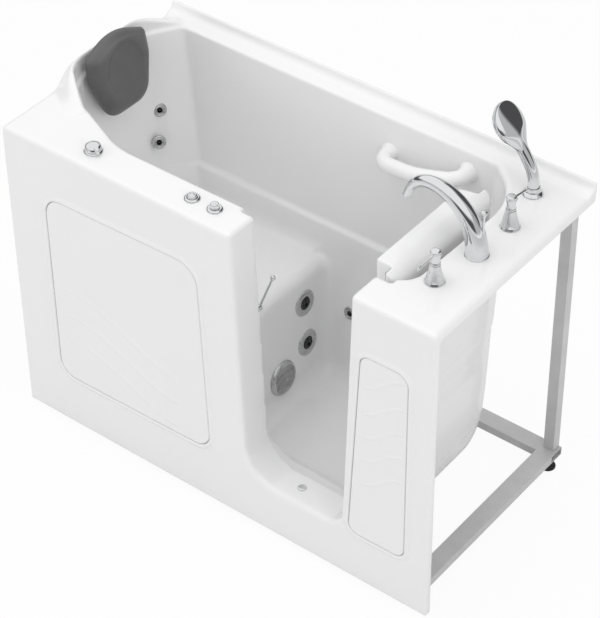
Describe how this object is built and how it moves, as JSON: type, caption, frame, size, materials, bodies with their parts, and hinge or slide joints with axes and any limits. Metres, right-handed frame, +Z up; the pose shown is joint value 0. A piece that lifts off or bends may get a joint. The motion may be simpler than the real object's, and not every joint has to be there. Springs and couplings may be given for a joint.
{
  "type": "walk-in bathtub",
  "caption": "Deep seated walk-in bath with an inward-swinging door, moulded seat, massage jets, deck-mounted filler and hand shower, on a steel frame.",
  "frame": {"origin": "bottom centre of the bounding box, on the floor", "axes": "+X along the bath towards the taps, -Y towards the front with the door, +Z up"},
  "size_m": [1.346, 0.68, 1.1694],
  "materials": {
    "acrylic": "glossy white moulded acrylic",
    "chrome": "polished chrome plate",
    "frame_steel": "satin grey steel tube",
    "zinc_steel": "zinc-plated steel",
    "stainless": "brushed stainless steel",
    "jet_black": "black glossy plastic",
    "seal_rubber": "soft white rubber",
    "pad_rubber": "black rubber",
    "headrest_foam": "dark grey moulded foam with a smooth skin",
    "face_plastic": "satin grey plastic",
    "brass": "cast brass",
    "pipe_plastic": "white pressure pipe",
    "waste_plastic": "dark grey waste pipe",
    "pump_plastic": "black glass-filled plastic",
    "motor_metal": "painted cast aluminium",
    "catch_plastic": "grey plastic"
  },
  "bodies": {
    "tub": {"bath_shell": "acrylic", "front_skirt": "acrylic", "panel_catches": "catch_plastic", "hinge_frame_leaves": "stainless", "hinge_pins": "stainless", "latch_housing": "stainless", "grab_bar": "acrylic", "headrest": "headrest_foam", "headrest_studs": "catch_plastic", "filler_spout": "chrome", "spout_aerator": "face_plastic", "handle_bases": "chrome", "shower_holder": "chrome", "valve_bodies": "brass", "mixer_pipes": "brass", "control_housings": "chrome", "seat_jets": "stainless", "lumbar_jets": "stainless", "suction_cover": "stainless", "floor_drain": "chrome", "sill_drain": "chrome", "overflow_plate": "chrome", "waste_trap": "waste_plastic", "base_long_rails": "frame_steel", "base_cross_rails": "frame_steel", "frame_posts": "frame_steel", "top_rails": "frame_steel", "seat_braces": "frame_steel", "support_pads": "pad_rubber", "foot_studs": "zinc_steel", "foot_pads": "pad_rubber", "jet_pump": "pump_plastic", "pump_motor": "motor_metal", "air_blower": "pump_plastic", "water_pipes": "pipe_plastic", "air_pipes": "pipe_plastic", "control_box": "face_plastic"},
    "door": {"door_outer_shell": "acrylic", "door_inner_shell": "acrylic", "door_seal": "seal_rubber", "hinge_door_leaves": "stainless", "door_strike": "chrome"},
    "latch_lever": {"latch_lever": "chrome"},
    "hot_lever": {"hot_lever": "chrome"},
    "cold_lever": {"cold_lever": "chrome"},
    "lift_knob": {"spout_lift_knob": "chrome"},
    "hand_shower": {"hand_shower": "chrome", "shower_face": "face_plastic"},
    "diverter": {"diverter_knob": "chrome"},
    "push_button": {"push_button": "chrome"},
    "air_knob": {"air_control_knob": "chrome"},
    "upper_seat_nozzle": {"upper_seat_nozzle": "jet_black"},
    "lower_seat_nozzle": {"lower_seat_nozzle": "jet_black"},
    "back_nozzle": {"back_nozzle": "jet_black"},
    "upper_lumbar_nozzle": {"upper_lumbar_nozzle": "jet_black"},
    "lower_lumbar_nozzle": {"lower_lumbar_nozzle": "jet_black"},
    "stopper": {"drain_stopper": "chrome"},
    "large_panel": {"large_access_panel": "acrylic"},
    "small_panel": {"small_access_panel": "acrylic"}
  },
  "joints": [
    {"name": "door_hinge", "type": "hinge", "parent": "tub", "child": "door", "pos_m": [0.459, -0.222, 0.5], "axis": [0, 0, 1], "range_deg": [0, 90]},
    {"name": "latch_turn", "type": "hinge", "parent": "tub", "child": "latch_lever", "pos_m": [0.0375, -0.186, 0.607], "axis": [0, 1, 0], "range_deg": [0, 164]},
    {"name": "hot_turn", "type": "hinge", "parent": "tub", "child": "hot_lever", "pos_m": [0.554, -0.174, 1.003], "axis": [0, 0, 1], "range_deg": [-90, 0]},
    {"name": "cold_turn", "type": "hinge", "parent": "tub", "child": "cold_lever", "pos_m": [0.579, 0.101, 1.003], "axis": [0, 0, 1], "range_deg": [0, 90]},
    {"name": "lift_knob_slide", "type": "slide", "parent": "tub", "child": "lift_knob", "axis": [0, 0, 1], "range_m": [0, 0.012]},
    {"name": "hand_shower_lift", "type": "slide", "parent": "tub", "child": "hand_shower", "axis": [0, 0, 1], "range_m": [0, 0.15]},
    {"name": "diverter_turn", "type": "hinge", "parent": "tub", "child": "diverter", "pos_m": [-0.416, -0.275, 0.953], "axis": [0, 0, 1], "range_deg": [-60, 120]},
    {"name": "push_button_press", "type": "slide", "parent": "tub", "child": "push_button", "axis": [0, 0, -1], "range_m": [0, 0.004], "stiffness_N_per_m": 500, "springref_m": -0.008},
    {"name": "air_knob_turn", "type": "hinge", "parent": "tub", "child": "air_knob", "pos_m": [-0.025, -0.274, 0.953], "axis": [0, 0, 1], "range_deg": [0, 270]},
    {"name": "upper_seat_nozzle_turn", "type": "hinge", "parent": "tub", "child": "upper_seat_nozzle", "pos_m": [-0.08068, 0.144, 0.335], "axis": [0.9948, 0, 0.1023], "range_deg": [0, 90]},
    {"name": "lower_seat_nozzle_turn", "type": "hinge", "parent": "tub", "child": "lower_seat_nozzle", "pos_m": [-0.06814, 0.138, 0.205], "axis": [0.9948, 0, 0.1023], "range_deg": [0, 90]},
    {"name": "back_nozzle_turn", "type": "hinge", "parent": "tub", "child": "back_nozzle", "pos_m": [0.009, 0.23025, 0.286], "axis": [0, -0.9907, 0.1359], "range_deg": [0, 90]},
    {"name": "upper_lumbar_nozzle_turn", "type": "hinge", "parent": "tub", "child": "upper_lumbar_nozzle", "pos_m": [-0.618, 0.199, 0.71], "axis": [0.7494, -0.5855, 0.309], "range_deg": [0, 90]},
    {"name": "lower_lumbar_nozzle_turn", "type": "hinge", "parent": "tub", "child": "lower_lumbar_nozzle", "pos_m": [-0.602, 0.172, 0.624], "axis": [0.7494, -0.5855, 0.309], "range_deg": [0, 90]},
    {"name": "stopper_lift", "type": "slide", "parent": "tub", "child": "stopper", "axis": [0, 0, 1], "range_m": [0, 0.01]},
    {"name": "large_panel_pull", "type": "slide", "parent": "tub", "child": "large_panel", "axis": [0, -1, 0], "range_m": [0, 0.12]},
    {"name": "small_panel_pull", "type": "slide", "parent": "tub", "child": "small_panel", "axis": [0, -1, 0], "range_m": [0, 0.12]}
  ]
}
